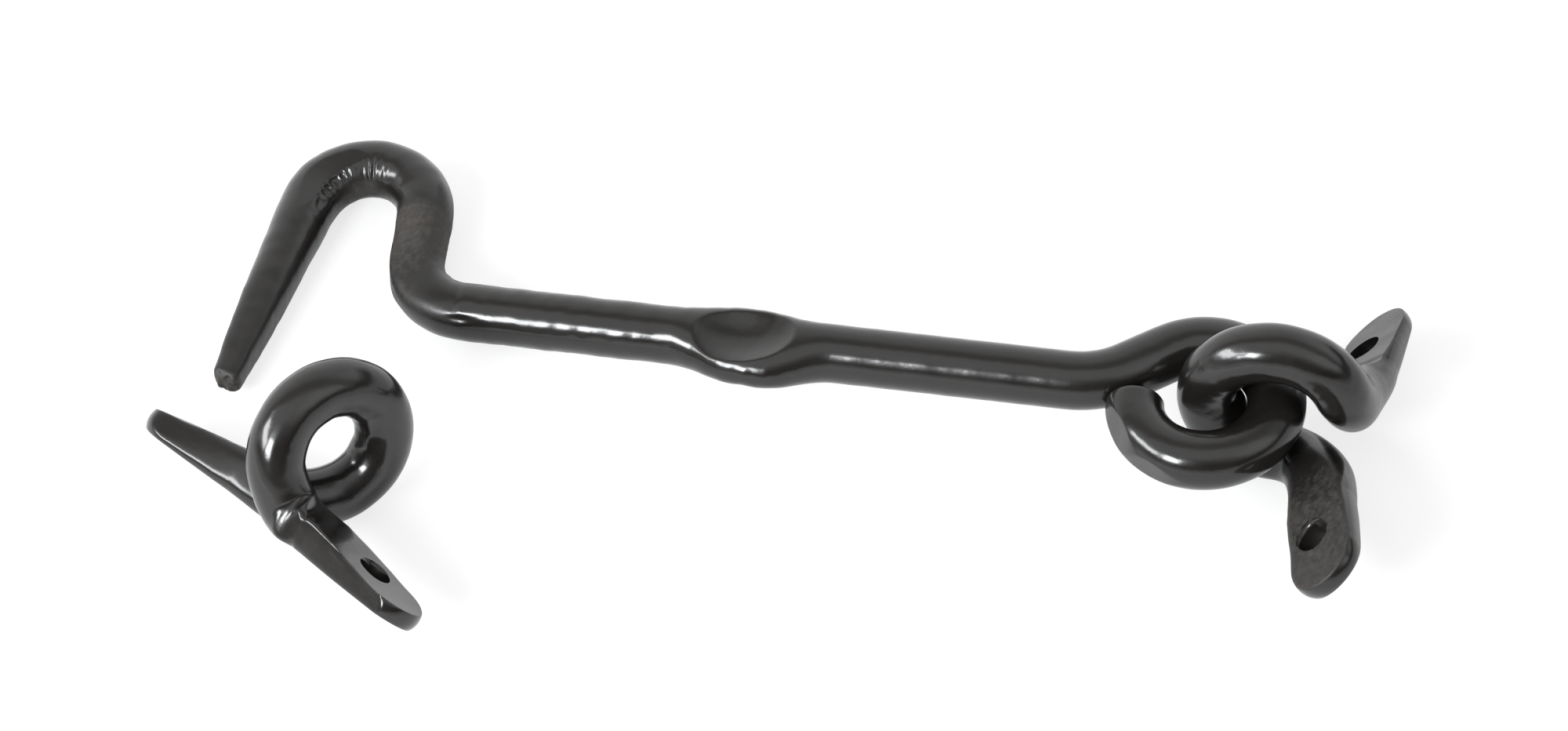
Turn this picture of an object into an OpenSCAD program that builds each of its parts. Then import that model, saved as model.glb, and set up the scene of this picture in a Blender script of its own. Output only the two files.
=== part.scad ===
/* [Bar] */
// Diameter of the round bar that every piece is forged from
bar_d = 8; // [7:0.1:9]

/* [Hook eye] */
// Inside diameter of the eye at the end of the hook
eye_inside_d = 11.4; // [10.6:0.1:14]
// Distance that the shank's axis passes beside the eye's centre
shank_offset = 1.2; // [0:0.1:3]
// Angle of the shoulder that leads the shank round to the eye
shoulder_a = 38; // [32:1:44]
// Bend radius where the shoulder leaves the shank
shoulder_r = 12; // [9:0.5:15]
// Direction, seen from the eye's centre, in which the closing end of the eye points back at the shank
eye_end_a = 188; // [184:1:196]
// Hairline seam between the closing end and the shank
seam = 0.3; // [0.2:0.05:0.6]

/* [Hook] */
// Straight length of the shank
shank_l = 83.2; // [60:0.1:120]
// Angle of the corner between shank and neck
corner_a = 85.5; // [75:0.5:95]
// Bend radius of that corner
corner_r = 8.5; // [7:0.5:12]
// Straight length of the neck
neck_l = 7.8; // [4:0.2:16]
// Inside width of the mouth at its bend
mouth_w = 8.4; // [7:0.2:14]
// Angle that the bar turns through round the mouth
mouth_a = 169; // [155:1:178]
// Length of the finger, drawn out to a taper
finger_l = 33.5; // [20:0.5:40]
// Thickness of the finger halfway along, over its edges
finger_mid_d = 7.2; // [6:0.1:8]
// Thickness of the finger at its blunt tip, over its edges
finger_tip_d = 4.5; // [3:0.1:6]
// Depth of the four hammered flats that square the finger, as a share of its radius
finger_flat = 0.11; // [0.05:0.01:0.2]
// Bevel round the blunt tip
tip_bevel = 0.5; // [0.2:0.1:1]

/* [Thumb dish] */
// Distance of the dish from the eye's centre
dish_x = 62.4; // [45:0.2:80]
// Length of the swelling that the dish pushes out of the bar
swell_l = 20; // [17:0.5:26]
// Bulge of the swelling over the bar on the near and the far side
swell_rise = [2.3, 1.4]; // [1:0.1:3]
// Depth that the top of the swelling is hammered down
swell_flat = 0.8; // [0.4:0.1:1.2]
// Depth that the underside of the swelling is flattened
under_flat = 0.4; // [0.2:0.1:0.8]
// Length of the dish
dish_l = 14.6; // [12:0.2:16]
// Width of the dish
dish_w = 9.2; // [7:0.2:10]
// Depth of the dish
dish_depth = 1.7; // [0.8:0.1:2.2]
// Distance that the dish stands from the bar's axis, towards the near side
dish_side = 0.7; // [0:0.1:1.2]
// Turn of the dish against the bar
dish_turn = 8; // [0:1:15]

/* [Staple ears] */
// Width of a flattened ear
ear_w = 10.8; // [9:0.1:13]
// Thickness of an ear where it leaves the bar
ear_root_t = 6.2; // [4.6:0.1:7]
// Thickness of an ear at its tip
ear_tip_t = 2.8; // [2:0.1:4]
// Diameter of a screw hole
hole_d = 4.8; // [3.5:0.1:6]
// Distance of a screw hole from the ear's tip
hole_inset = 9; // [7:0.1:11]
// Length of straight wall in a screw hole, below its softened rim
hole_wall = 3; // [2:0.1:3.4]

/* [Fixing staple] */
// Inside diameter of the loop
fix_loop_d = 10.6; // [10.2:0.1:13]
// Height of the loop's underside over the back of the ears
fix_loop_rise = 0.6; // [0:0.1:2]
// Angle between the loop and the line of the ears
fix_skew = 80.5; // [72:0.5:86]
// Turn of the near and far strand from the top of the loop to the bend of its ear
fix_turn = [127, 119]; // [110:1:140]
// Climb of the near and far strand along the loop's axis, for a whole turn
fix_climb = [2.6, -4.7]; // [-8:0.1:4]
// Distance from the middle to the near and far ear's root
fix_root = [12.6, 12.8]; // [10:0.1:14]
// Sideways place of the near and far ear's root
fix_side = [0.6, -3.9]; // [-6:0.1:4]
// Angle of the near and far ear to the line of the ears
fix_splay = [4.5, -2]; // [-12:0.5:12]
// Distance from the middle to the near and far ear's tip
fix_reach = [27.5, 27.3]; // [24:0.1:34]

/* [Catch eye] */
// Inside diameter of the loop
catch_loop_d = 9.3; // [8:0.1:12]
// Height of the loop's underside over the back of the ears
catch_loop_rise = 0.2; // [0:0.1:2]
// Angle between the loop and the line of the ears
catch_skew = 67.5; // [56:0.5:72]
// Turn of the near and far strand from the top of the loop to the bend of its ear
catch_turn = [140, 140]; // [120:1:146]
// Climb of the near and far strand along the loop's axis, for a whole turn
catch_climb = [-7.4, -7.4]; // [-10:0.1:-7]
// Distance from the middle to the near and far ear's root
catch_root = [9, 9]; // [8:0.1:12]
// Sideways place of the near and far ear's root
catch_side = [2, -2]; // [-4:0.1:4]
// Angle of the near and far ear to the line of the ears
catch_splay = [4.5, 2]; // [-12:0.5:12]
// Distance from the middle to the near and far ear's tip
catch_reach = [26.1, 27.1]; // [24:0.1:34]

/* [Lying on the table] */
// Place of the hook's eye from the middle of the footprint
eye_place = [56.9, 13.9]; // [-100:0.1:100]
// Height of the hook's eye over the table
eye_z = 12.5; // [11:0.1:15]
// Turn of the fixing staple about X, Y and Z
fix_pose = [-53.1, 13.6, 91.3]; // [-180:0.1:180]
// Place round the loop, from its top, where the fixing staple passes through the hook's eye
link_a = 44; // [40:1:54]
// Direction in the hook's eye towards which the fixing staple rests
link_dir = 81; // [0:1:120]
// Running gap between the hook's eye and the fixing staple
link_gap = 0.6; // [0.3:0.1:1]
// Turn of the catch eye about X, Y and Z
catch_pose = [-56, -5, -34.4]; // [-180:0.1:180]
// Place of the catch eye from the hook's eye, and its height over the table
catch_place = [-117.7, -39.8, 6.65]; // [-160:0.05:160]

/* [Hidden] */
$fn = 48;
bar_r = bar_d / 2;
eye_r = eye_inside_d / 2 + bar_r;
mouth_r = mouth_w / 2 + bar_r;
tip_r = finger_tip_d / 2;
iron = "#211f1e";

// The bar thickens a little in its bends, and straight stretches lap into them
bend_upset = 0.03;
bend_r = bar_r + bend_upset;
lap = 0.3;
rocker_n = 180;

// Shoulder: the straight stretch and the start that bring the bar onto the eye's circle
shoulder_drop = shank_offset + shoulder_r * (1 - cos(shoulder_a));
shoulder_l = (eye_r * cos(shoulder_a) - shoulder_drop) / sin(shoulder_a);
shoulder_x = (eye_r + shoulder_r) * sin(shoulder_a) + shoulder_l * cos(shoulder_a);
eye_sweep = 360 + (90 + shoulder_a) - eye_end_a;

// Heading of the finger against the shank, and how far the hook reaches before the bar tapers
finger_a = mouth_a - corner_a;
reach_x = shoulder_x + shank_l + corner_r * sin(corner_a) + neck_l * cos(corner_a)
    + mouth_r * (sin(finger_a) + sin(corner_a));
tilt = asin((eye_z - bend_r) / reach_x);

// Staple sweep: sides of a section, steps along each stretch, and the sink that the back is trimmed from
section_n = 20;
loop_n = 20;
bend_n = 10;
ear_n = 4;
tip_turns = [20, 38, 54, 68, 80];
back_sink = 0.6;
bend_flat_start = 0.3;
ear_square = 0.3;

// How far each strand's bend keeps the direction of the loop, and then that of the ear
fix_pull = [[6.6, 7], [3.1, 5.5]];
catch_pull = [[4.5, 5], [4.5, 5]];

// Rise of the softened rim of a screw hole, and a size that is larger than any piece
rim_rise = 3;
far = 60;

function unit(v) = v / norm(v);
function smooth(t) = let (u = min(max(t, 0), 1)) u * u * (3 - 2 * u);
function power(v, e) = sign(v) * pow(abs(v), e);
function cubic(a, b, c, d, t) = let (u = 1 - t)
    u * u * u * a + 3 * u * u * t * b + 3 * u * t * t * c + t * t * t * d;

// A staple's sizes as one list: loop radius, loop height, skew, then one entry per strand
fix_sizes = [fix_loop_d / 2 + bar_r, fix_loop_d / 2 + bar_d + fix_loop_rise, fix_skew,
    fix_turn, fix_climb, fix_root, fix_side, fix_splay, fix_reach, fix_pull];
catch_sizes = [catch_loop_d / 2 + bar_r, catch_loop_d / 2 + bar_d + catch_loop_rise, catch_skew,
    catch_turn, catch_climb, catch_root, catch_side, catch_splay, catch_reach, catch_pull];

// Side of strand k: the near strand runs to -X, the far one to +X
function side(k) = 2 * k - 1;
function loop_axis(s) = [-sin(s[2]), cos(s[2]), 0];
function loop_across(s) = [cos(s[2]), sin(s[2]), 0];
function ear_dir(s, k) = side(k) * [cos(s[7][k]), sin(s[7][k]), 0];
function ear_across(s, k) = [-sin(s[7][k]), cos(s[7][k]), 0];

// Point of strand k on the loop, a degrees down from the top
function loop_point(s, k, a) = [0, 0, s[1]]
    + s[0] * (cos(a) * [0, 0, 1] - side(k) * sin(a) * loop_across(s))
    + side(k) * a / 360 * s[4][k] * loop_axis(s);

// Direction of strand k at its last point on the loop
function loop_dir(s, k) = let (a = s[3][k])
    unit(loop_point(s, k, a) - loop_point(s, k, a - 1));

// Place along ear k, t from its root to its tip, on the ear's middle line
function ear_root(s, k) = [side(k) * s[5][k], s[6][k], ear_root_t / 2];
function ear_point(s, k, t) = ear_root(s, k)
    + t * (s[8][k] - s[5][k]) * ear_dir(s, k)
    + t * [0, 0, (ear_tip_t - ear_root_t) / 2];
function bend_point(s, k, t) = cubic(
    loop_point(s, k, s[3][k]),
    loop_point(s, k, s[3][k]) + s[9][k][0] * loop_dir(s, k),
    ear_root(s, k) - s[9][k][1] * ear_dir(s, k),
    ear_root(s, k), t);

// Stations of strand k from the loop's top to the ear's tip, each with its point,
// flatness, place along the ear and width at the tip
function tip_start(s, k) = 1 - ear_w / 2 / (s[8][k] - s[5][k]);
function strand(s, k) = concat(
    [for (i = [0:loop_n]) [loop_point(s, k, s[3][k] * i / loop_n), 0, 0, 1]],
    [for (i = [1:bend_n]) [bend_point(s, k, i / bend_n),
        smooth((i / bend_n - bend_flat_start) / (1 - bend_flat_start)), 0, 1]],
    [for (i = [1:ear_n]) let (t = tip_start(s, k) * i / ear_n) [ear_point(s, k, t), 1, t, 1]],
    [for (a = tip_turns) let (t = 1 - (1 - tip_start(s, k)) * (1 - sin(a)))
        [ear_point(s, k, t), 1, t, cos(a)]]);

// One ring of section points: round on the loop, wide and flattened on the ear
function ring(p, along, wide, flat, t, tip) =
    let (
        across = unit(wide - (wide * along) * along),
        up = cross(along, across),
        width = (bar_d + (ear_w - bar_d) * flat) * tip,
        thick = bar_d + (ear_root_t + (ear_tip_t - ear_root_t) * t - bar_d) * flat + back_sink * flat,
        e = 1 - ear_square * flat,
        middle = p - [0, 0, back_sink * flat / 2]
    )
    [for (j = [0:section_n - 1]) let (a = 360 * j / section_n)
        middle + across * width / 2 * power(cos(a), e) + up * thick / 2 * power(sin(a), e)];

// Rings of a whole staple, from the near ear's tip over the loop to the far ear's tip
function rings(s) =
    let (
        near = strand(s, 0),
        last = strand(s, 1),
        n = len(near),
        line = concat([for (i = [n - 1:-1:0]) near[i]], [for (i = [1:n - 1]) last[i]]),
        m = len(line)
    )
    [for (i = [0:m - 1])
        let (
            q = line[i],
            k = i < n ? 0 : 1,
            along = unit(line[min(i + 1, m - 1)][0] - line[max(i - 1, 0)][0]),
            wide = (1 - q[1]) * loop_axis(s) + q[1] * ear_across(s, k)
        )
        ring(q[0], along, wide, q[1], q[2], q[3])];

// Bar that is swept through the rings and closed at both ends
module swept(layers) {
    n = len(layers[0]);
    m = len(layers);
    sides = [for (i = [0:m - 2], j = [0:n - 1])
        [i * n + j, (i + 1) * n + j, (i + 1) * n + (j + 1) % n, i * n + (j + 1) % n]];
    caps = [[for (j = [0:n - 1]) j], [for (j = [n - 1:-1:0]) (m - 1) * n + j]];
    polyhedron([for (layer = layers, p = layer) p], concat(sides, caps), convexity = 6);
}

// Screw hole through ear k, with a softened rim at the front
module screw_hole(s, k) {
    t = 1 - hole_inset / (s[8][k] - s[5][k]);
    p = ear_point(s, k, t);
    translate([p[0], p[1], 0]) {
        translate([0, 0, -back_sink * 2]) cylinder(h = hole_wall + back_sink * 2, d = hole_d);
        translate([0, 0, hole_wall]) cylinder(h = rim_rise, d1 = hole_d, d2 = hole_d + 2 * rim_rise);
    }
}

// A staple in its own frame: back on Z = 0, ears along X, loop above
module staple(s) {
    difference() {
        swept(rings(s));
        translate([-far, -far, -far]) cube([2 * far, 2 * far, far]);
        for (k = [0, 1]) screw_hole(s, k);
    }
}

// Straight bar along +X that laps into its neighbours at both ends, with what follows it
module straight(l) {
    translate([-lap, 0, 0]) rotate([0, 90, 0]) cylinder(h = l + 2 * lap, r = bar_r);
    translate([l, 0, 0]) children();
}

// Bend of the bar from +X towards the left (turn 1) or the right (turn -1), with what follows it
module bend(radius, angle, turn) {
    mirror([0, turn < 0 ? 1 : 0, 0]) translate([0, radius, 0]) rotate([0, 0, -90])
        rotate_extrude(angle = angle) translate([radius, 0]) circle(r = bend_r);
    translate([radius * sin(angle), turn * radius * (1 - cos(angle)), 0])
        rotate([0, 0, turn * angle]) children();
}

// Finger: drawn out in two tapers along +X, with four hammered flats and a bevelled tip
module finger() {
    half = finger_l / 2;
    mid_r = finger_mid_d / 2;
    bevel_r = tip_r + (mid_r - tip_r) * tip_bevel / half;
    flat_r = tip_r * (1 - finger_flat);
    slope = atan((mid_r - tip_r) * (1 - finger_flat) / half);
    difference() {
        rotate([0, 90, 0]) {
            translate([0, 0, -lap]) cylinder(h = half + lap, r1 = bar_r, r2 = mid_r);
            translate([0, 0, half]) cylinder(h = half - tip_bevel, r1 = mid_r, r2 = bevel_r);
            translate([0, 0, finger_l - tip_bevel])
                cylinder(h = tip_bevel, r1 = bevel_r, r2 = tip_r - tip_bevel);
        }
        for (a = [0:90:270]) rotate([a, 0, 0]) translate([finger_l, 0, flat_r]) rotate([0, slope, 0])
            translate([-finger_l, -bar_r, 0]) cube([finger_l + bar_r, bar_d, bar_r]);
    }
}

// One side of the swelling round the dish: half a turn of a smooth bulge about the shank, on the far side
module swelling(rise) {
    half = swell_l / 2;
    arc_a = 2 * atan(rise / half);
    arc_r = half / 2 / sin(arc_a);
    top_r = bar_r + rise;
    rotate([0, 90, 0]) rotate_extrude(angle = 180) difference() {
        union() {
            translate([0, -half]) square([bar_r + rise / 2, swell_l]);
            intersection() {
                translate([top_r - arc_r, 0]) circle(r = arc_r);
                translate([0, -half / 2]) square([top_r, half]);
            }
        }
        for (y = [-half, half]) translate([bar_r + arc_r, y]) circle(r = arc_r);
    }
}

// Rocker that flattens the bar over the swelling's length, down to a depth at the middle
module flattener(depth) {
    half = swell_l / 2;
    r = (half * half + depth * depth) / (2 * depth);
    translate([0, 0, bar_r - depth + r]) rotate([90, 0, 0])
        cylinder(h = far, r = r, center = true, $fn = rocker_n);
}

// Thumb dish: part of a ring that is wider along the bar than across it
module dish() {
    along_r = (dish_l * dish_l / 4 + dish_depth * dish_depth) / (2 * dish_depth);
    across_r = (dish_w * dish_w / 4 + dish_depth * dish_depth) / (2 * dish_depth);
    translate([0, -dish_side, bar_r - swell_flat - dish_depth + along_r]) rotate([90, 0, dish_turn])
        rotate_extrude() translate([along_r - across_r, 0]) circle(r = across_r);
}

// Shank from the shoulder to the finger, as one bent bar
module shank() {
    translate([-shoulder_x, shank_offset, 0]) rotate([0, 0, 180])
        straight(shank_l) bend(corner_r, corner_a, -1) straight(neck_l) bend(mouth_r, mouth_a, 1) finger();
}

// Shoulder between the shank and the eye
module shoulder() {
    translate([-shoulder_x, shank_offset, 0]) bend(shoulder_r, shoulder_a, 1) straight(shoulder_l);
}

// Room that the closing end of the eye leaves round the shank and the shoulder's bend
module seam_room() {
    room_r = bend_r + seam;
    translate([-shoulder_x, shank_offset, 0]) {
        translate([-bar_d, 0, 0]) rotate([0, 90, 0]) cylinder(h = bar_d + lap, r = room_r - bend_upset / 2);
        translate([0, shoulder_r, 0]) rotate([0, 0, -90]) rotate_extrude(angle = shoulder_a)
            translate([shoulder_r, 0]) circle(r = room_r);
        translate([shoulder_r * sin(shoulder_a), shoulder_r * (1 - cos(shoulder_a)), 0])
            rotate([0, 0, shoulder_a]) translate([-lap, 0, 0]) rotate([0, 90, 0])
            cylinder(h = shoulder_l / 2, r = room_r - bend_upset / 2);
    }
}

// Ring of the eye, closed onto the shank with a hairline seam
module eye() {
    difference() {
        rotate([0, 0, eye_end_a]) rotate_extrude(angle = eye_sweep)
            translate([eye_r, 0]) circle(r = bend_r);
        seam_room();
    }
}

module hook() {
    color(iron) translate([eye_place[0], eye_place[1], eye_z]) rotate([0, -tilt, 0]) {
        difference() {
            union() {
                shank();
                translate([-dish_x, shank_offset, 0]) {
                    rotate([180, 0, 0]) swelling(swell_rise[0]);
                    swelling(swell_rise[1]);
                }
            }
            translate([-dish_x, shank_offset, 0]) {
                flattener(swell_flat);
                mirror([0, 0, 1]) flattener(under_flat);
                dish();
            }
        }
        shoulder();
        eye();
    }
}

module fixing_staple() {
    link_r = eye_r - bar_d - link_gap;
    color(iron) translate([eye_place[0], eye_place[1], eye_z]) rotate([0, -tilt, 0])
        translate([link_r * cos(link_dir), link_r * sin(link_dir), 0]) rotate([0, tilt, 0])
        rotate(fix_pose) translate(-loop_point(fix_sizes, 0, link_a)) staple(fix_sizes);
}

module catch_eye() {
    color(iron) translate([eye_place[0] + catch_place[0], eye_place[1] + catch_place[1], catch_place[2]])
        rotate(catch_pose) staple(catch_sizes);
}

hook();
fixing_staple();
catch_eye();
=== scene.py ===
import bpy
import numpy as np
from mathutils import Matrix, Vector


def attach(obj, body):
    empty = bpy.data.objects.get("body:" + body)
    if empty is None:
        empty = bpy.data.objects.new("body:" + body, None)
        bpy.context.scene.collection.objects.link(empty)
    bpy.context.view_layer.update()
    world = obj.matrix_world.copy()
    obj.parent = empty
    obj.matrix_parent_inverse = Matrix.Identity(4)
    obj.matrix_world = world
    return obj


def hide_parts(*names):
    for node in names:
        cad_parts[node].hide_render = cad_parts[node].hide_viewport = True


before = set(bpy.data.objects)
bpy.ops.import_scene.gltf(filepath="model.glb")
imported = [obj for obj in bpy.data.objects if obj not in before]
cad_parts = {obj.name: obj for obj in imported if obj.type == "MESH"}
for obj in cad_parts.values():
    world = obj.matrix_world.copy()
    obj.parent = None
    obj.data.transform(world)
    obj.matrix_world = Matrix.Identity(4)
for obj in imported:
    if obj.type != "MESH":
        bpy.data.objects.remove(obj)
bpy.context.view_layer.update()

# The hook is one length of 8 mm round bar, forged hot and dipped in black enamel. The finger is drawn
# out to a blunt taper, the thumb dish is punched into a swelling of the shank, and the other end is
# wrapped into an eye whose cut end butts on the shank. Lengths are in millimetres until the mesh is made.
bar_r = 3.94
finger_l = 33.5
mouth_r = 8.2
mouth_turn = 169
neck_l = 7.8
corner_r = 8.5
corner_turn = 85.5
shank_l = 83.2
shoulder_r = 12.0
shoulder_turn = 38
shoulder_l = 6.334
eye_r = 9.7
eye_turn = 205
closing_r = 0.95 * eye_r
closing_turn = 99
shank_end = np.array([-18.351, 1.2])
dish_x = -62.4
hook_place = np.array([56.9, 13.893, 12.5])
hook_tilt = np.radians(3.8253)
round_n = 128


def eased(t):
    """Step from 0 to 1 with level ends: 3 t squared minus 2 t cubed, with t held between 0 and 1."""
    t = np.clip(t, 0, 1)
    return t * t * (3 - 2 * t)


def hump(t):
    """Bump that is 1 at t = 0 and level at 0 from t = 1 on: half of one plus the cosine of pi t."""
    return 0.5 + 0.5 * np.cos(np.pi * np.clip(np.abs(t), 0, 1))


def softly_over(x, soft):
    """What stands above zero, with a soft corner: half of x plus the root of x squared plus soft squared."""
    return 0.5 * (x + np.sqrt(x ** 2 + soft ** 2))


def hammering(s, around, seed, shortest, longest, lobes, count=26):
    """Uneven surface of hammered bar, mostly between -1.5 and 1.5: the sum of cosine waves, over the root of
    their number. They run along the bar, with wavelengths spread between two lengths, and a whole number of
    lobes round it, at fixed random phases."""
    dice = np.random.default_rng(seed)
    wave = dice.uniform(shortest, longest, count)
    turns = dice.integers(-lobes, lobes + 1, count)
    phase = dice.uniform(0, 2 * np.pi, count)
    total = np.zeros(np.broadcast(s, around).shape)
    for w, t, p in zip(wave, turns, phase):
        total = total + np.cos(2 * np.pi * s / w + t * around + p)
    return total / np.sqrt(count)


def planed(u, v, towards, depth, size=bar_r, soft=0):
    """Section with one side hammered flat: what stands further out towards an angle than the bar's radius
    less a depth is pushed straight back to that line, over a soft corner. Angle, depth, radius and softness
    may change along the bar."""
    hair = 0.001
    c, s = np.cos(np.radians(towards)), np.sin(np.radians(towards))
    over = softly_over(u * c + v * s - (size - depth), soft) * (depth > hair)
    return u - over * c, v - over * s


def bar_line(stretches, softness, spare):
    """Centre-line of a bent bar lying in a plane. Curvature is each stretch's turn over its length, blurred
    by a bell curve of the given softness; heading is its running sum, and place is the running sum of
    heading. The last stretch runs on by a spare length. Gives lengths, places and headings from the finger's
    tip, and the length at which each stretch ends."""
    step = 0.05
    reach = int(3 * softness / step)
    ends = np.cumsum([length for length, turn in stretches])
    s = np.arange(0, ends[-1] + spare, step)
    which = np.minimum(np.searchsorted(ends, s, side="right"), len(stretches) - 1)
    curvature = np.array([np.radians(turn) / length for length, turn in stretches])[which]
    bell = np.exp(-0.5 * (np.arange(-reach, reach + 1) * step / softness) ** 2)
    curvature = np.convolve(np.pad(curvature, reach, mode="edge"), bell / bell.sum(), mode="valid")
    heading = np.cumsum(curvature) * step
    place = np.cumsum(np.stack([np.cos(heading), np.sin(heading)], 1), 0) * step
    return s, place, heading, ends


def closed_skin(name, rows):
    """Mesh of a skin of points in rows: each row closes on itself, neighbouring rows are joined by
    four-sided faces, and the first and last row are single points. Millimetres become metres here."""
    m, n, _ = rows.shape
    points = np.concatenate([rows[1:-1].reshape(-1, 3), rows[[0, -1], 0]]) / 1000
    i, j = np.meshgrid(np.arange(m - 3), np.arange(n), indexing="ij")
    k = (j + 1) % n
    sides = np.stack([i * n + j, i * n + k, (i + 1) * n + k, (i + 1) * n + j], -1).reshape(-1, 4)
    j = np.arange(n)
    k = (j + 1) % n
    last = (m - 3) * n
    start = np.stack([np.full(n, len(points) - 2), k, j], -1)
    finish = np.stack([np.full(n, len(points) - 1), last + j, last + k], -1)
    mesh = bpy.data.meshes.new(name)
    mesh.from_pydata(points.tolist(), [], sides.tolist() + start.tolist() + finish.tolist())
    mesh.polygons.foreach_set("use_smooth", np.ones(len(mesh.polygons), bool))
    mesh.update()
    piece = bpy.data.objects.new(name, mesh)
    bpy.context.scene.collection.objects.link(piece)
    return piece


def mark_forged(piece, amount):
    """Notes on each point of a piece how dull and rough the hammer left it, from 0 to 1, for the enamel."""
    tag = piece.data.attributes.new("forged", "FLOAT", "POINT")
    tag.data.foreach_set("value", amount.astype(np.float32))


stretches = [
    (finger_l, 0),
    (mouth_r * np.radians(mouth_turn), -mouth_turn),
    (neck_l, 0),
    (corner_r * np.radians(corner_turn), corner_turn),
    (shank_l, 0),
    (shoulder_r * np.radians(shoulder_turn), shoulder_turn),
    (shoulder_l, 0),
    (eye_r * np.radians(eye_turn), -eye_turn),
    (closing_r * np.radians(closing_turn), -closing_turn),
]
line_s, line_p, line_a, ends = bar_line(stretches, softness=0.9, spare=3)
mouth_end, neck_end, corner_end, shank_stop = ends[1:5]
shoulder_end, bar_end = ends[6], ends[-1]
middle = np.searchsorted(line_s, shank_stop - shank_l / 2)
turn_back = line_a[middle]
spin = np.array([[np.cos(turn_back), -np.sin(turn_back)], [np.sin(turn_back), np.cos(turn_back)]])
line_p = (line_p - line_p[middle]) @ spin + shank_end - [shank_l / 2, 0]
line_a = line_a - turn_back

# Finger: what the radius loses at the tip, how the loss grows, and the length over which it turns square
tip_loss = 2.05
taper_power = 1.35
square_more = 1.1
square_from = 24
square_over = 17

# Swelling and dish, along the shank from the dish's middle and across it
swell_l = 10.5
swell_level = 3
swell_run_out = 9.5
swell_near = 0.68
swell_far = 0.33
press_top = 0.17
press_back = 0.1
brow = 0.25
brow_power = 1.5
dish_l = 7.1
dish_w = 4.3
dish_deep = 1.75
dish_off = 0.75
dish_turn = np.radians(8)
dish_rim = 0.02
dish_fade = 3

# Hammer marks all over the bar: depth, seed, shortest and longest wave, and lobes. They calm right of the dish
bar_marks = [(0.024, 3, 5, 12, 3), (0.016, 4, 2.2, 4.5, 5), (0.005, 9, 1.4, 2.4, 8)]
calm = 0.65
calm_from = 3
calm_over = 8

# Rough patches: length from the tip, reach, angle and spread round the bar, then the marks as above
patches = [
    (finger_l + 12, 4, np.radians(128), np.radians(42), 0.12, 8, 0.9, 1.7, 6),
    (neck_end - 3, 10, 0, np.inf, 0.022, 7, 0.9, 2.2, 9),
]

# Scallops inside the bend, and the bar thickened there
bite_deep = 0.46
bite_s = finger_l + 2.5
bite_l = 8.5
bite_a = np.radians(131)
bite_w = 0.17
tooth_l = 1.8
tooth_drift = 0.9
tooth_wander = 1.1
crush_high = 0.4
crush_s = finger_l + 4
crush_l = 9
crush_w = 1.6

# Dents: depth, length from the tip, reach, and angle and spread round the bar
dents = [
    (0.17, corner_end + 0.3, 1.3, np.radians(144), 0.13),
    (0.14, mouth_end + 4, 4, np.radians(48), 0.13),
]

# Flats: angle round the bar in degrees, depth, length from the tip, reach, and softness of the corner
flats = [
    (176, 0.5, neck_end - 2, 10, 0),
    (99, 0.34, finger_l + 3, 10, 0),
    (107, 0.8, neck_end + 4, 8.5, 0.5),
    (14, 0.75, bar_end - 4.5, 4.5, 0),
    (-6, 0.55, bar_end - 9.5, 4, 0),
]


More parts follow.
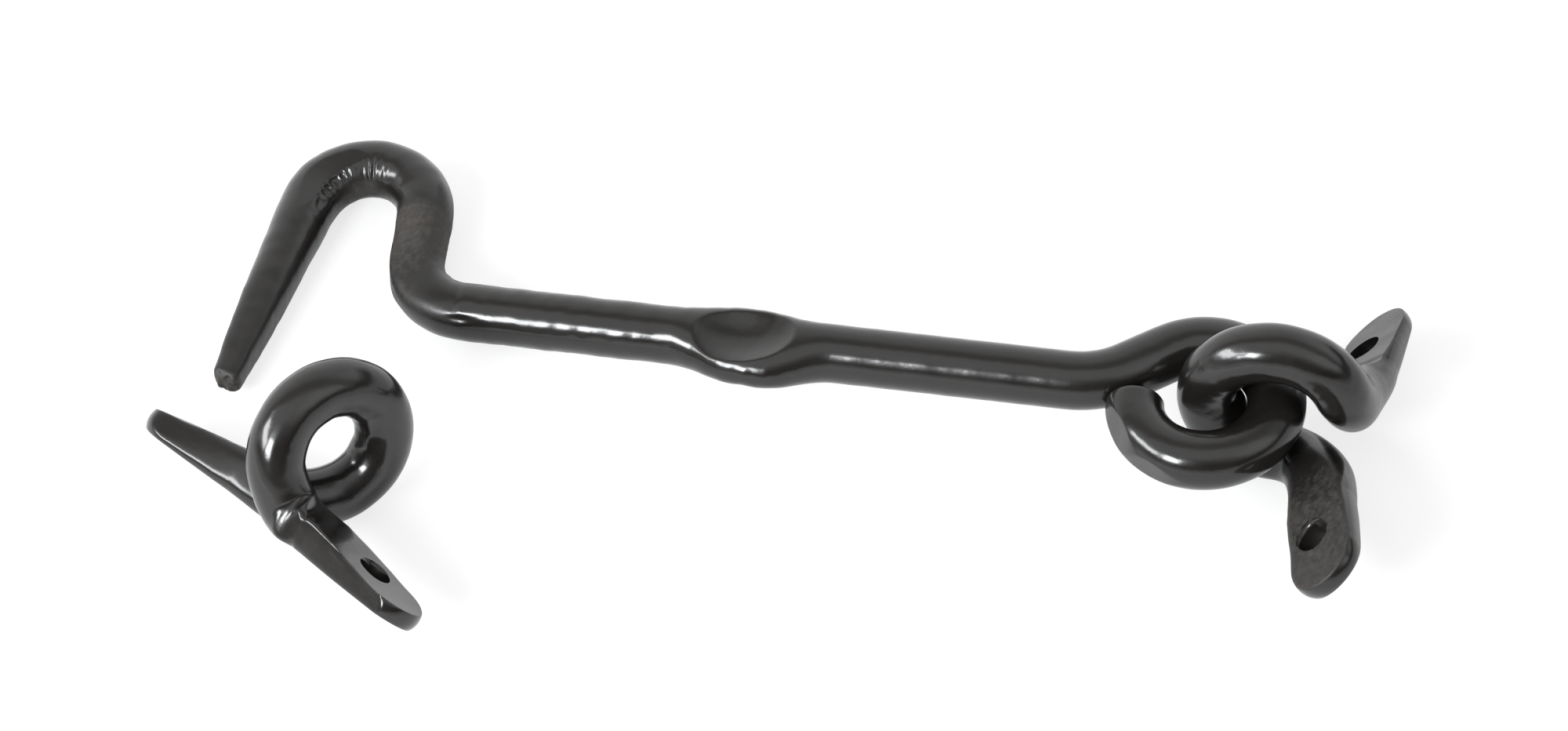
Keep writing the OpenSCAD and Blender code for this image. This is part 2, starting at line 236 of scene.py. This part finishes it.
def hook_skin(s, around, fill):
    """Point of the hook at length s from the finger's tip, angle round the bar (0 on the left, a quarter
    turn up) and fill from 0 on the centre-line to 1 on the skin. The round section is drawn out and squared
    along the finger, roughened by marks and dents, planed by the flats, widened and pressed flat over the
    swelling, and sunk by the dish: one minus the squares of length and width over the dish's own."""
    x = np.interp(s, line_s, line_p[:, 0])
    y = np.interp(s, line_s, line_p[:, 1])
    a = np.interp(s, line_s, line_a)
    along = s - shank_stop - (dish_x - shank_end[0])
    radius = bar_r - tip_loss * (1 - np.clip(s / finger_l, 0, 1)) ** taper_power
    square = 2 + square_more * eased((square_from - s) / square_over)
    radius = radius * (np.abs(np.cos(around)) ** square + np.abs(np.sin(around)) ** square) ** (-1 / square)
    marks = sum(depth * hammering(s, around, *waves) for depth, *waves in bar_marks)
    marks = marks * (1 - calm * eased((along - calm_from) / calm_over))
    teeth = np.abs(np.sin(np.pi * s / tooth_l + tooth_drift * np.sin(tooth_wander * s)))
    bite = hump((s - bite_s) / bite_l) * np.exp(-((around - bite_a) / bite_w) ** 2)
    marks = marks - bite_deep * bite * teeth
    for place, reach, towards, spread, depth, *waves in patches:
        there = hump((s - place) / reach) * hump((around - towards) / spread)
        marks = marks + depth * there * hammering(s, around, *waves)
    crush = hump((s - crush_s) / crush_l) * hump((around - np.pi) / crush_w)
    radius = radius + marks + crush_high * crush
    for depth, place, reach, towards, spread in dents:
        radius = radius - depth * np.exp(-((s - place) / reach) ** 2 - ((around - towards) / spread) ** 2)
    u = radius * np.cos(around)
    v = radius * np.sin(around)
    for towards, depth, place, reach, soft in flats:
        u, v = planed(u, v, towards, depth * hump((s - place) / reach), bar_r, soft)
    swell = hump(along / swell_l)
    run_out = np.maximum(along - swell_level, 0) / swell_run_out
    near_swell = hump(np.where(along > 0, run_out, along / swell_l))
    top = v > 0
    u = u * (1 + np.where(u < 0, swell_near * near_swell, swell_far * swell))
    brows = 1 + brow * swell * np.abs(np.cos(around)) ** brow_power * top
    v = v * (1 - swell * np.where(top, press_top, press_back)) * brows
    p = along * np.cos(dish_turn) + (u + dish_off) * np.sin(dish_turn)
    q = -along * np.sin(dish_turn) + (u + dish_off) * np.cos(dish_turn)
    bowl = softly_over(1 - (p / dish_l) ** 2 - (q / dish_w) ** 2, dish_rim)
    v = v - np.where(top, dish_deep * bowl * np.clip(swell * dish_fade, 0, 1), 0)
    u = u * fill
    v = v * fill
    flat = np.stack([x - u * np.sin(a), y + u * np.cos(a), v], -1)
    turned = flat.copy()
    turned[..., 0] = flat[..., 0] * np.cos(hook_tilt) - flat[..., 2] * np.sin(hook_tilt)
    turned[..., 2] = flat[..., 0] * np.sin(hook_tilt) + flat[..., 2] * np.cos(hook_tilt)
    return turned + hook_place


def butt_length(around, fill):
    """Length at which a line inside the eye's bar, parallel to its centre-line, comes within a hair of the
    shank: the first of many lengths at which it is nearer to the shank's centre-line than radius plus
    seam."""
    seam = 0.22
    search_l, search_n = 13, 110
    wall_before, wall_after, wall_step = 8, 1, 12
    tries = np.linspace(bar_end - search_l, bar_end, search_n)
    shape = np.broadcast(around, fill).shape
    x = np.interp(tries, line_s, line_p[:, 0])
    y = np.interp(tries, line_s, line_p[:, 1])
    a = np.interp(tries, line_s, line_a)
    u = (bar_r * fill * np.cos(around)).reshape(-1, 1)
    v = (bar_r * fill * np.sin(around)).reshape(-1, 1)
    px = x - u * np.sin(a)
    py = y + u * np.cos(a)
    beside = (line_s > shank_stop - wall_before) & (line_s < shoulder_end + wall_after)
    gap = np.full(px.shape, np.inf)
    for wx, wy in line_p[beside][::wall_step]:
        gap = np.minimum(gap, np.sqrt((px - wx) ** 2 + (py - wy) ** 2 + v ** 2))
    near = gap < bar_r + seam
    first = np.where(near.any(1), near.argmax(1), len(tries) - 1)
    return tries[first].reshape(shape)


def rounded_rim(fill, start, height):
    """How far the rim of a cap falls back: height times one minus the root of one minus t squared, where t
    goes from 0 at the start to 1 on the skin."""
    t = np.clip((fill - start) / (1 - start), 0, 1)
    return height * (1 - np.sqrt(np.clip(1 - t ** 2, 0, 1)))


# Rows of points, closer where the shape changes fast: how much closer, length from the tip, and reach
row_n = 640
plain_rows = 1.8
closer_rows = [(4.2, finger_l + 7, 14), (3.2, shank_stop - 44, 13), (4, 0, 3), (1.5, bar_end, 12)]
around = np.linspace(0, 2 * np.pi, round_n, endpoint=False)[None, :]
fine_s = np.linspace(0, bar_end, 4000)
density = np.full(len(fine_s), plain_rows)
for closer, place, reach in closer_rows:
    density = density + closer * hump((fine_s - place) / reach)
count = np.concatenate([[0], np.cumsum(density[1:] * np.diff(fine_s))])
stations = np.interp(np.linspace(0, count[-1], row_n), count, fine_s)[:, None]

# Cap at the finger's tip: fill grows from nothing, and the broken end is uneven and rounded at its rim
cap_n = 16
tip_back = 0.1
tip_rim = 1.05
tip_slope = 0.3
crag_deep = 0.26
crag_r = 4
fill = np.sin(np.linspace(0, np.pi / 2, cap_n))[:, None]
crag_x = crag_r * fill * np.cos(around)
crag_y = crag_r * fill * np.sin(around)
crag = crag_deep * fill * hammering(crag_x, crag_y, seed=12, shortest=2.2, longest=5, lobes=2)
tip_s = tip_back + rounded_rim(fill, 0.5, tip_rim) + crag * (1 - fill ** 6)
tip_s = tip_s + tip_slope * (1 + fill * np.cos(around))
tip = hook_skin(np.maximum(tip_s, 0.0), around + 0 * fill, fill)

# Cap at the eye's end: every line inside the bar stops at the shank, with a rounded rim
close_rim = 0.7
close_fill = np.sin(np.linspace(np.pi / 2, 0, cap_n))[:, None]
close_s = butt_length(around, close_fill) - rounded_rim(close_fill, 0.8, close_rim)
close = hook_skin(close_s, around + 0 * close_fill, close_fill)

# Bar between the caps: the first and the last rows are drawn to the caps' rims
tip_drawn = 4
close_drawn = 22
tip_limit = tip_back + tip_rim + tip_slope * (1 + np.cos(around))
close_limit = butt_length(around, np.ones((1, 1))) - close_rim
start = bar_end - close_drawn
drawn = start + (stations - start) * (close_limit - start) / (bar_end - start)
body_s = np.where(stations < start, stations, drawn)
body_s = np.where(stations < tip_drawn, tip_limit + stations * (tip_drawn - tip_limit) / tip_drawn, body_s)
body = hook_skin(body_s, around + 0 * body_s, np.ones((1, 1)))
hook = closed_skin("hook_forging", np.concatenate([tip[:-1], body[1:-1], close[1:]]))

# Where the hammer left the hook dull: neck, inside of the bend, corner and finger
close_rows = np.full((cap_n - 2, round_n), bar_end)
rough_s = np.concatenate([tip_s[1:-1] + 0 * around, body_s[1:-1], close_rows])
rough_a = np.broadcast_to(around, rough_s.shape)
neck_dull = 0.6 * eased((rough_s - mouth_end + 3) / 5) * eased((corner_end - 3.5 - rough_s) / 5)
neck_dull = neck_dull + 0.4 * hump((rough_s - neck_end + 4) / 9)
bend_dull = hump((rough_s - finger_l - 8) / 12) * hump((rough_a - 3.05) / 0.85)
corner_dull = 0.6 * hump((rough_s - corner_end + 4.5) / 4.5) * hump((rough_a - 2.45) / 0.7)
finger_dull = 0.4 * eased((30 - rough_s) / 20) + 0.5 * eased(1.6 - rough_s)
tip_dull, close_dull = 1, 0.3
forged = np.clip(neck_dull + bend_dull + corner_dull + finger_dull, 0, 1)
mark_forged(hook, np.concatenate([forged.ravel(), [tip_dull, close_dull]]))

# Black enamel: near black and faintly brown, glossy, with the flow of dipped paint, and duller and
# rougher where the forged mark says so
enamel_black = (0.007, 0.0063, 0.0058, 1)
enamel_brown = (0.012, 0.0108, 0.0097, 1)
forge_dust = (0.05, 0.044, 0.039, 1)
enamel = bpy.data.materials.new("black_enamel")
enamel.use_nodes = True
tree = enamel.node_tree
shader = tree.nodes["Principled BSDF"]
shader.inputs["Metallic"].default_value = 0
shader.inputs["IOR"].default_value = 1.5
shader.inputs["Coat Roughness"].default_value = 0.08
shader.inputs["Coat IOR"].default_value = 1.5
where = tree.nodes.new("ShaderNodeTexCoord").outputs["Object"]
mark = tree.nodes.new("ShaderNodeAttribute")
mark.attribute_name = "forged"
hammered = mark.outputs["Fac"]


def cloudy(scale, detail, rough):
    """Noise on the piece's own coordinates: features are about one over the scale, in metres."""
    node = tree.nodes.new("ShaderNodeTexNoise")
    node.inputs["Scale"].default_value = scale
    node.inputs["Detail"].default_value = detail
    node.inputs["Roughness"].default_value = rough
    tree.links.new(where, node.inputs["Vector"])
    return node.outputs["Fac"]


def sum_of(kind, first, second):
    """One step of arithmetic between two values, each a link or a number, in the tree being built."""
    node = tree.nodes.new("ShaderNodeMath")
    node.operation = kind
    for socket, value in zip(node.inputs, (first, second)):
        if isinstance(value, (int, float)):
            socket.default_value = value
        else:
            tree.links.new(value, socket)
    return node.outputs[0]


def blended(amount, first, second):
    """Colour between two, each a link or a colour, by an amount from 0 to 1, in the tree being built."""
    first_colour, second_colour, colour_out = 6, 7, 2
    node = tree.nodes.new("ShaderNodeMix")
    node.data_type = "RGBA"
    tree.links.new(amount, node.inputs["Factor"])
    for socket, value in ((first_colour, first), (second_colour, second)):
        if isinstance(value, tuple):
            node.inputs[socket].default_value = value
        else:
            tree.links.new(value, node.inputs[socket])
    return node.outputs[colour_out]


flow = cloudy(scale=210, detail=3, rough=0.5)
peel = cloudy(scale=900, detail=2, rough=0.5)
grain = cloudy(scale=3800, detail=3, rough=0.6)
dull = sum_of("MULTIPLY", hammered, cloudy(scale=1000, detail=5, rough=0.75))
dust = sum_of("SUBTRACT", sum_of("MULTIPLY", dull, 2.8), 0.8)
colour = blended(dust, blended(flow, enamel_black, enamel_brown), forge_dust)
tree.links.new(colour, shader.inputs["Base Color"])
gloss = sum_of("ADD", sum_of("MULTIPLY", flow, 0.14), 0.13)
gloss = sum_of("ADD", gloss, sum_of("MULTIPLY", dull, 0.9))
tree.links.new(gloss, shader.inputs["Roughness"])
varnish = sum_of("MAXIMUM", sum_of("SUBTRACT", 0.25, sum_of("MULTIPLY", hammered, 0.45)), 0)
tree.links.new(varnish, shader.inputs["Coat Weight"])
pocked = sum_of("MULTIPLY", hammered, cloudy(scale=1600, detail=3, rough=0.6))
height = sum_of("ADD", sum_of("MULTIPLY", peel, 0.8), sum_of("MULTIPLY", grain, 0.16))
height = sum_of("ADD", height, sum_of("MULTIPLY", pocked, 0.7))
bump = tree.nodes.new("ShaderNodeBump")
bump.inputs["Strength"].default_value = 0.35
bump.inputs["Distance"].default_value = 0.00006
tree.links.new(height, bump.inputs["Height"])
tree.links.new(bump.outputs["Normal"], shader.inputs["Normal"])
tree.links.new(bump.outputs["Normal"], shader.inputs["Coat Normal"])
hook.data.materials.append(enamel)
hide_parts("hook")
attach(hook, "hook")

# The fixing staple is a shorter length of the same bar: its middle is looped through the hook's eye, and
# both ends are hammered flat into ears that lie on the door, each punched for one screw.
ear_w = 10.7
ear_root_t = 6.2
ear_tip_t = 2.8
hole_r = 2.4
hole_inset = 9.0

# Pairs are for the first and the second ear. Edges: angle in degrees, depth, softness and twist towards the
# root. Upset places: length from the first tip, reach, angle, spread and height. Flats: length, reach, angle
# and depth.
fixing = {
    "loop_r": 9.3, "loop_z": 13.9, "skew": 80.5, "turn": (127, 119), "climb": (2.6, -4.7),
    "root": (12.6, 12.8), "side": (0.6, -3.9), "splay": (4.5, -2), "reach": (27.5, 27.3),
    "pull": ((6.6, 7), (3.1, 5.5)), "bow": (-0.35, 0),
    "turned": (-53.1, 13.6, 91.3), "place": (77.39, 12.38, 5.732),
    "lean": (1.3, 2.1), "edge": ((180, 0, 0, 0), (180, 0, 0, 0)), "dull": (0.8, 0.2),
    "upset": [(43.7, 7, 124, 1.3, 1.02)], "flats": [(55, 5, 205, 0.3)],
}


def ear_lines(staple, k):
    """Direction of ear k, the direction across it, and the place of its root, in the staple's own frame."""
    side = 2 * k - 1
    a = np.radians(staple["splay"][k])
    along = side * np.array([np.cos(a), np.sin(a), 0])
    across = np.array([-np.sin(a), np.cos(a), 0])
    return along, across, np.array([side * staple["root"][k], staple["side"][k], ear_root_t / 2])


def strand(staple, k):
    """Centre-line of one half of a staple, from the top of the loop to the tip of ear k: a circle that climbs
    along its axis, then a cubic curve with the loop's and the ear's directions at its ends, then a straight
    ear that thins to its tip. Gives places, flatness, place along the ear, width at the tip, the direction
    across, what the face and the near edge lose to the hammer, and how dull it left the face."""
    loop_n, bend_n, run_n, fan_n = 90, 60, 40, 34
    flat_from = 0.18
    lean_lost = 0.5
    soft_lost = 0.92
    side = 2 * k - 1
    skew = np.radians(staple["skew"])
    axis = np.array([-np.sin(skew), np.cos(skew), 0])
    level = np.array([np.cos(skew), np.sin(skew), 0])
    along, across, root = ear_lines(staple, k)
    a = np.radians(np.linspace(0, staple["turn"][k], loop_n))[:, None]
    rise = np.cos(a) * [0, 0, 1] - side * np.sin(a) * level
    climbed = side * (a / (2 * np.pi)) * staple["climb"][k] * axis
    loop = [0, 0, staple["loop_z"]] + staple["loop_r"] * rise + climbed
    way = loop[-1] - loop[-2]
    way = way / np.linalg.norm(way)
    t = np.linspace(0, 1, bend_n)[1:, None]
    leave, arrive = staple["pull"][k]
    knots = [loop[-1], loop[-1] + leave * way, root - arrive * along, root]
    shares = [(1 - t) ** 3, 3 * t * (1 - t) ** 2, 3 * t ** 2 * (1 - t), t ** 3]
    bend = sum(share * knot for share, knot in zip(shares, knots))
    ear_l = staple["reach"][k] - staple["root"][k]
    round_from = 1 - ear_w / 2 / ear_l
    run = np.linspace(0, round_from, run_n)[1:]
    fan = np.radians(np.linspace(0, 90, fan_n))[1:]
    t_ear = np.concatenate([run, round_from + (1 - round_from) * np.sin(fan)])
    ear = root + t_ear[:, None] * (ear_l * along + [0, 0, (ear_tip_t - ear_root_t) / 2])
    ear = ear + staple["bow"][k] * np.sin(np.pi * t_ear[:, None]) * across
    places = np.concatenate([loop, bend, ear])
    flattened = eased((t[:, 0] - flat_from) / (1 - flat_from))
    flatness = np.concatenate([np.zeros(len(loop)), flattened, np.ones(len(ear))])
    along_ear = np.concatenate([np.zeros(len(loop) + len(bend)), t_ear])
    tip = np.concatenate([np.ones(len(loop) + len(bend) + len(run)), np.cos(fan)])
    wide = (1 - flatness)[:, None] * axis + flatness[:, None] * across
    lean = staple["lean"][k] * flatness * (1 - lean_lost * along_ear ** 2)
    towards, depth, soft, twist = staple["edge"][k]
    turned_edge = towards + twist * (1 - along_ear) ** 2
    edge = np.stack([turned_edge, depth * flatness, soft * (1 - soft_lost * along_ear)], 1)
    return places, flatness, along_ear, tip, wide, lean, edge, staple["dull"][k] * flatness


def set_down(staple, points):
    """Points of the staple's own frame where it lies: turned about X, then Y, then Z, and moved to its
    place."""
    a, b, c = np.radians(staple["turned"])
    about_x = np.array([[1, 0, 0], [0, np.cos(a), -np.sin(a)], [0, np.sin(a), np.cos(a)]])
    about_y = np.array([[np.cos(b), 0, np.sin(b)], [0, 1, 0], [-np.sin(b), 0, np.cos(b)]])
    about_z = np.array([[np.cos(c), -np.sin(c), 0], [np.sin(c), np.cos(c), 0], [0, 0, 1]])
    return points @ (about_z @ about_y @ about_x).T + staple["place"]


def staple_skin(staple, seed):
    """Skin of a staple, from one ear's tip over the loop to the other's. The section is an ellipse that
    widens on the ear. Its height is held to the ear's thickness by a soft limit: the height over the
    fourteenth root of one plus x to the fourteenth, with x the height over the limit, which leaves a ridge
    between the hammered face and the round side. The face falls towards the near edge where it leans, and
    upset places stand out from the round by a bump. Gives the points, and how dull the hammer left them: most
    on the faces of the ears."""
    staple_n = 112
    ridge = 14
    bar_room, bar_room_power = 2.2, 1.5
    ear_calm = 0.6
    coarse_deep, fine_deep, face_deep = 0.007, 0.001, 0.03
    lean_from = 0.75
    face_from, face_over = 0.6, 0.25
    halves = zip(strand(staple, 0), strand(staple, 1))
    joined = [np.concatenate([first[::-1], second[1:]]) for first, second in halves]
    places, flatness, along_ear, tip, wide, lean, edge, dull = joined
    way = np.gradient(places, axis=0)
    way = way / np.linalg.norm(way, axis=1, keepdims=True)
    across = wide - (wide * way).sum(1, keepdims=True) * way
    across = across / np.linalg.norm(across, axis=1, keepdims=True)
    up = np.cross(way, across)
    around = np.linspace(0, 2 * np.pi, staple_n, endpoint=False)[None, :]
    s = np.concatenate([[0], np.cumsum(np.linalg.norm(np.diff(places, axis=0), axis=1))])[:, None]
    flat = flatness[:, None]
    full_w = bar_r + (ear_w / 2 - bar_r) * flat
    half_w = full_w * tip[:, None]
    half_h = bar_r * tip[:, None]
    thick = (ear_root_t + (ear_tip_t - ear_root_t) * along_ear)[:, None] / 2
    limit = thick + (1 - flat) ** bar_room_power * bar_room
    calmed = 1 - ear_calm * flat
    marks = 1 + coarse_deep * calmed * hammering(s, around, seed, shortest=4, longest=10, lobes=3)
    marks = marks + fine_deep * calmed * hammering(s, around, seed + 1, shortest=1.5, longest=3, lobes=6)
    for place, reach, towards, spread, height in staple["upset"]:
        off = (around - np.radians(towards) + np.pi) % (2 * np.pi) - np.pi
        marks = marks + height / bar_r * hump((s - place) / reach) * hump(off / spread)
    u = half_w * np.cos(around) * marks
    v = half_h * np.sin(around) * marks
    for place, reach, towards, depth in staple["flats"]:
        u, v = planed(u, v, towards, depth * hump((s - place) / reach))
    u, v = planed(u, v, edge[:, :1], edge[:, 1:2], full_w, edge[:, 2:])
    fall = np.clip(lean_from - u / full_w, 0, 1 + lean_from) / (1 + lean_from)
    front = limit - lean[:, None] * fall
    over = np.abs(v) / np.where(v > 0, front, limit)
    v = v / (1 + over ** ridge) ** (1 / ridge)
    v = v + face_deep * flat * (v > 0) * hammering(s, around, seed + 2, shortest=5, longest=9, lobes=2)
    skin = places[:, None, :] + u[..., None] * across[:, None, :] + v[..., None] * up[:, None, :]
    scale = dull[:, None] * eased((v / front - face_from) / face_over)
    return set_down(staple, skin), scale


def punch(staple, k):
    """Punch for the screw hole of ear k: a profile of radius against height, turned round the hole's axis,
    that flares by most of a quarter ellipse where it leaves the front and the back of the ear."""
    punch_n = 64
    flare_n, flare_turn, flare_w, flare_h = 9, 80, 0.3, 0.4
    lip = 0.5
    head_w = 0.6
    clear = 2
    along, _, root = ear_lines(staple, k)
    ear_l = staple["reach"][k] - staple["root"][k]
    t = 1 - hole_inset / ear_l
    top = ear_root_t + (ear_tip_t - ear_root_t) * t
    bow = np.radians(np.linspace(0, flare_turn, flare_n))
    flare = hole_r + flare_w * (1 - np.cos(bow))
    rise = flare_h * np.sin(bow)
    head = hole_r + head_w
    r = np.concatenate([[0, head], flare[::-1], flare, [head, 0]])
    z = np.concatenate([[-clear, -clear], lip - rise[::-1], top - lip + rise, [top + clear, top + clear]])
    around = np.linspace(0, 2 * np.pi, punch_n, endpoint=False)[None, :]
    r, z = r[:, None], z[:, None]
    rows = np.stack([r * np.cos(around), r * np.sin(around), z + 0 * around], -1)
    foot = root + t * ear_l * along
    return set_down(staple, rows + [foot[0], foot[1], 0])


def forged_staple(name, staple, seed):
    """Staple with its two screw holes cut through the ears, and the edges of the holes kept sharp in
    shading."""
    sharp = np.radians(48)
    skin, scale = staple_skin(staple, seed)
    piece = closed_skin(name, skin)
    mark_forged(piece, np.concatenate([scale[1:-1].ravel(), [0, 0]]))
    for k in (0, 1):
        cutter = closed_skin("punch", punch(staple, k))
        cut = piece.modifiers.new("hole", "BOOLEAN")
        cut.operation = "DIFFERENCE"
        cut.solver = "EXACT"
        cut.object = cutter
        holed = piece.evaluated_get(bpy.context.evaluated_depsgraph_get())
        done = bpy.data.meshes.new_from_object(holed)
        piece.modifiers.clear()
        piece.data = done
        bpy.data.objects.remove(cutter)
    piece.data.polygons.foreach_set("use_smooth", np.ones(len(piece.data.polygons), bool))
    piece.data.set_sharp_from_angle(angle=sharp)
    piece.data.materials.clear()
    piece.data.materials.append(enamel)
    return piece


fixing_staple = forged_staple("fixing_staple_forging", fixing, seed=21)
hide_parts("fixing_staple")
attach(fixing_staple, "fixing_staple")

# The catch eye is the second staple, wound closer so that the hook's finger drops into its loop. It lies
# loose on the table on one ear and the side of its loop.
catch = {
    "loop_r": 8.65, "loop_z": 12.85, "skew": 67.5, "turn": (140, 140), "climb": (-7.4, -7.4),
    "root": (9, 9), "side": (2, -2), "splay": (4.5, 2), "reach": (26.1, 27.1),
    "pull": ((4.5, 5), (4.5, 5)), "bow": (0, 0),
    "turned": (-56, -5, -34.4), "place": (-60.8, -25.9, 6.65),
    "lean": (0, 1.5), "edge": ((160, 0.95, 1, 15), (197, 0.9, 0.2, 0)), "dull": (0.3, 0),
    "upset": [(76.7, 3.4, 205, 1.5, 0.75), (79.4, 1.3, 205, 1.5, -0.28)], "flats": [],
}
catch_eye = forged_staple("catch_eye_forging", catch, seed=31)
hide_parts("catch_eye")
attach(catch_eye, "catch_eye")

# The table is a sheet of white paper, larger than the view. It is white to the camera, dimmer in
# reflections, and still takes the soft shadow of the pieces.
half = 2.5
paper_tone = 0.68
paper_tone_seen = 0.34
paper_lift_seen = 0.72
paper_lift_mirrored = 0.18


def grey(level):
    """Colour with the same level of red, green and blue."""
    return (level, level, level, 1)


def seen_straight(ray):
    """1 for rays that reach the camera straight or through something clear, and 0 for the others."""
    return sum_of("MAXIMUM", ray.outputs["Is Camera Ray"], ray.outputs["Is Transmission Ray"])


paper_mesh = bpy.data.meshes.new("paper")
paper_corners = [(-half, -half, 0), (half, -half, 0), (half, half, 0), (-half, half, 0)]
paper_mesh.from_pydata(paper_corners, [], [(0, 1, 2, 3)])
paper = bpy.data.objects.new("paper", paper_mesh)
bpy.context.scene.collection.objects.link(paper)
white = bpy.data.materials.new("white_paper")
white.use_nodes = True
tree = white.node_tree
tree.nodes.clear()
ray = tree.nodes.new("ShaderNodeLightPath")
matt = tree.nodes.new("ShaderNodeBsdfDiffuse")
tone = blended(ray.outputs["Is Camera Ray"], grey(paper_tone), grey(paper_tone_seen))
tree.links.new(tone, matt.inputs["Color"])
lift = tree.nodes.new("ShaderNodeEmission")
lift.inputs["Color"].default_value = grey(1)
mirrored = sum_of("MULTIPLY", ray.outputs["Is Glossy Ray"], paper_lift_mirrored)
seen = sum_of("MAXIMUM", sum_of("MULTIPLY", seen_straight(ray), paper_lift_seen), mirrored)
tree.links.new(seen, lift.inputs["Strength"])
both = tree.nodes.new("ShaderNodeAddShader")
tree.links.new(matt.outputs[0], both.inputs[0])
tree.links.new(lift.outputs[0], both.inputs[1])
tree.links.new(both.outputs[0], tree.nodes.new("ShaderNodeOutputMaterial").inputs["Surface"])
paper_mesh.materials.append(white)

# The studio is a light tent, pale at the far wall and darker overhead, low at the front and on the right,
# with two soft lamps at the front left and the left that draw the long white streaks on the enamel.
# Levels go from the front of the table, at 0, over the top, at a half, to the back, at 1.
tent_tone = 0.92
tent_levels = [
    (0.0, 0.15), (0.2, 0.15), (0.27, 0.55), (0.34, 1.2), (0.48, 1.2),
    (0.535, 0.45), (0.6, 0.42), (0.7, 1.0), (0.85, 1.2), (1.0, 1.25),
]


def faded(tree, value, start, finish, first, last):
    """Value that goes from first to last with level ends while another goes from start to finish."""
    node = tree.nodes.new("ShaderNodeMapRange")
    node.interpolation_type = "SMOOTHSTEP"
    node.inputs["From Min"].default_value = start
    node.inputs["From Max"].default_value = finish
    node.inputs["To Min"].default_value = first
    node.inputs["To Max"].default_value = last
    tree.links.new(value, node.inputs["Value"])
    return node.outputs[0]


world = bpy.data.worlds.new("light_tent")
bpy.context.scene.world = world
world.use_nodes = True
tree = world.node_tree
tree.nodes.clear()
ray = tree.nodes.new("ShaderNodeLightPath")
direction = tree.nodes.new("ShaderNodeSeparateXYZ")
tree.links.new(tree.nodes.new("ShaderNodeTexCoord").outputs["Generated"], direction.inputs[0])
climb = sum_of("ARCTAN2", direction.outputs["Z"], sum_of("MULTIPLY", direction.outputs["Y"], -1))
bands = tree.nodes.new("ShaderNodeValToRGB")
tree.links.new(sum_of("DIVIDE", climb, np.pi), bands.inputs[0])
while len(bands.color_ramp.elements) < len(tent_levels):
    bands.color_ramp.elements.new(0.5)
for element, (at, level) in zip(bands.color_ramp.elements, tent_levels):
    element.position = at
    element.color = grey(level)
gloom = faded(tree, direction.outputs["X"], start=0.3, finish=0.65, first=0, last=0.88)
low = faded(tree, direction.outputs["Z"], start=0.3, finish=0.52, first=1, last=-0.3)
skirt = faded(tree, direction.outputs["Z"], start=0.1, finish=0.24, first=1.08, last=0)
shade = sum_of("SUBTRACT", 1, sum_of("MULTIPLY", gloom, low))
tent = tree.nodes.new("ShaderNodeBackground")
tent.inputs["Color"].default_value = grey(tent_tone)
glow = sum_of("MAXIMUM", sum_of("MULTIPLY", bands.outputs[0], shade), skirt)
tree.links.new(glow, tent.inputs["Strength"])
back = tree.nodes.new("ShaderNodeBackground")
back.inputs["Color"].default_value = grey(1)
choice = tree.nodes.new("ShaderNodeMixShader")
tree.links.new(seen_straight(ray), choice.inputs[0])
tree.links.new(tent.outputs[0], choice.inputs[1])
tree.links.new(back.outputs[0], choice.inputs[2])
tree.links.new(choice.outputs[0], tree.nodes.new("ShaderNodeOutputWorld").inputs["Surface"])


def softbox(name, place, width, height, radiance):
    """Rectangular lamp of a given radiance that faces the pieces and fades towards its left and right
    edges: its power is the radiance times pi times its area."""
    faces = Vector((-0.02, 0.015, 0.01))
    cool_white = (0.96, 0.98, 1)
    edge_fade = 0.16
    light = bpy.data.lights.new(name, "AREA")
    light.shape = "RECTANGLE"
    light.size = width
    light.size_y = height
    light.energy = radiance * np.pi * width * height
    light.color = cool_white
    light.use_nodes = True
    nodes, links = light.node_tree.nodes, light.node_tree.links
    spot = nodes.new("ShaderNodeSeparateXYZ")
    links.new(nodes.new("ShaderNodeNewGeometry").outputs["Parametric"], spot.inputs[0])
    inset = nodes.new("ShaderNodeMath")
    inset.operation = "PINGPONG"
    inset.inputs[1].default_value = 0.5
    links.new(spot.outputs["X"], inset.inputs[0])
    fade = faded(light.node_tree, inset.outputs[0], start=0, finish=edge_fade, first=0, last=1)
    links.new(fade, nodes["Emission"].inputs["Strength"])
    lamp = bpy.data.objects.new(name, light)
    lamp.location = place
    lamp.rotation_euler = (faces - lamp.location).to_track_quat("-Z", "Y").to_euler()
    lamp.visible_camera = False
    bpy.context.scene.collection.objects.link(lamp)


softbox("front_softbox", (-0.312, -0.6, 0.47), width=0.31, height=0.24, radiance=28)
softbox("side_softbox", (-0.64, -0.32, 0.45), width=0.6, height=0.16, radiance=16)

# The camera looks down on the table from the front right, from 0.9 m away and through a long lens, as the
# photograph was taken.
aim = Vector((-0.00098, 0.01886, 0))
stand = Vector((0.1201, -0.6066, 0.7859))
distance = 0.9
lens = bpy.data.cameras.new("camera")
lens.sensor_fit = "HORIZONTAL"
lens.sensor_width = 36
lens.lens = 152.1
lens.clip_end = 20
camera = bpy.data.objects.new("camera", lens)
camera.location = aim + distance * stand
camera.rotation_euler = (-stand).to_track_quat("-Z", "Y").to_euler()
bpy.context.scene.collection.objects.link(camera)
bpy.context.scene.camera = camera
bpy.context.scene.view_settings.view_transform = "Standard"
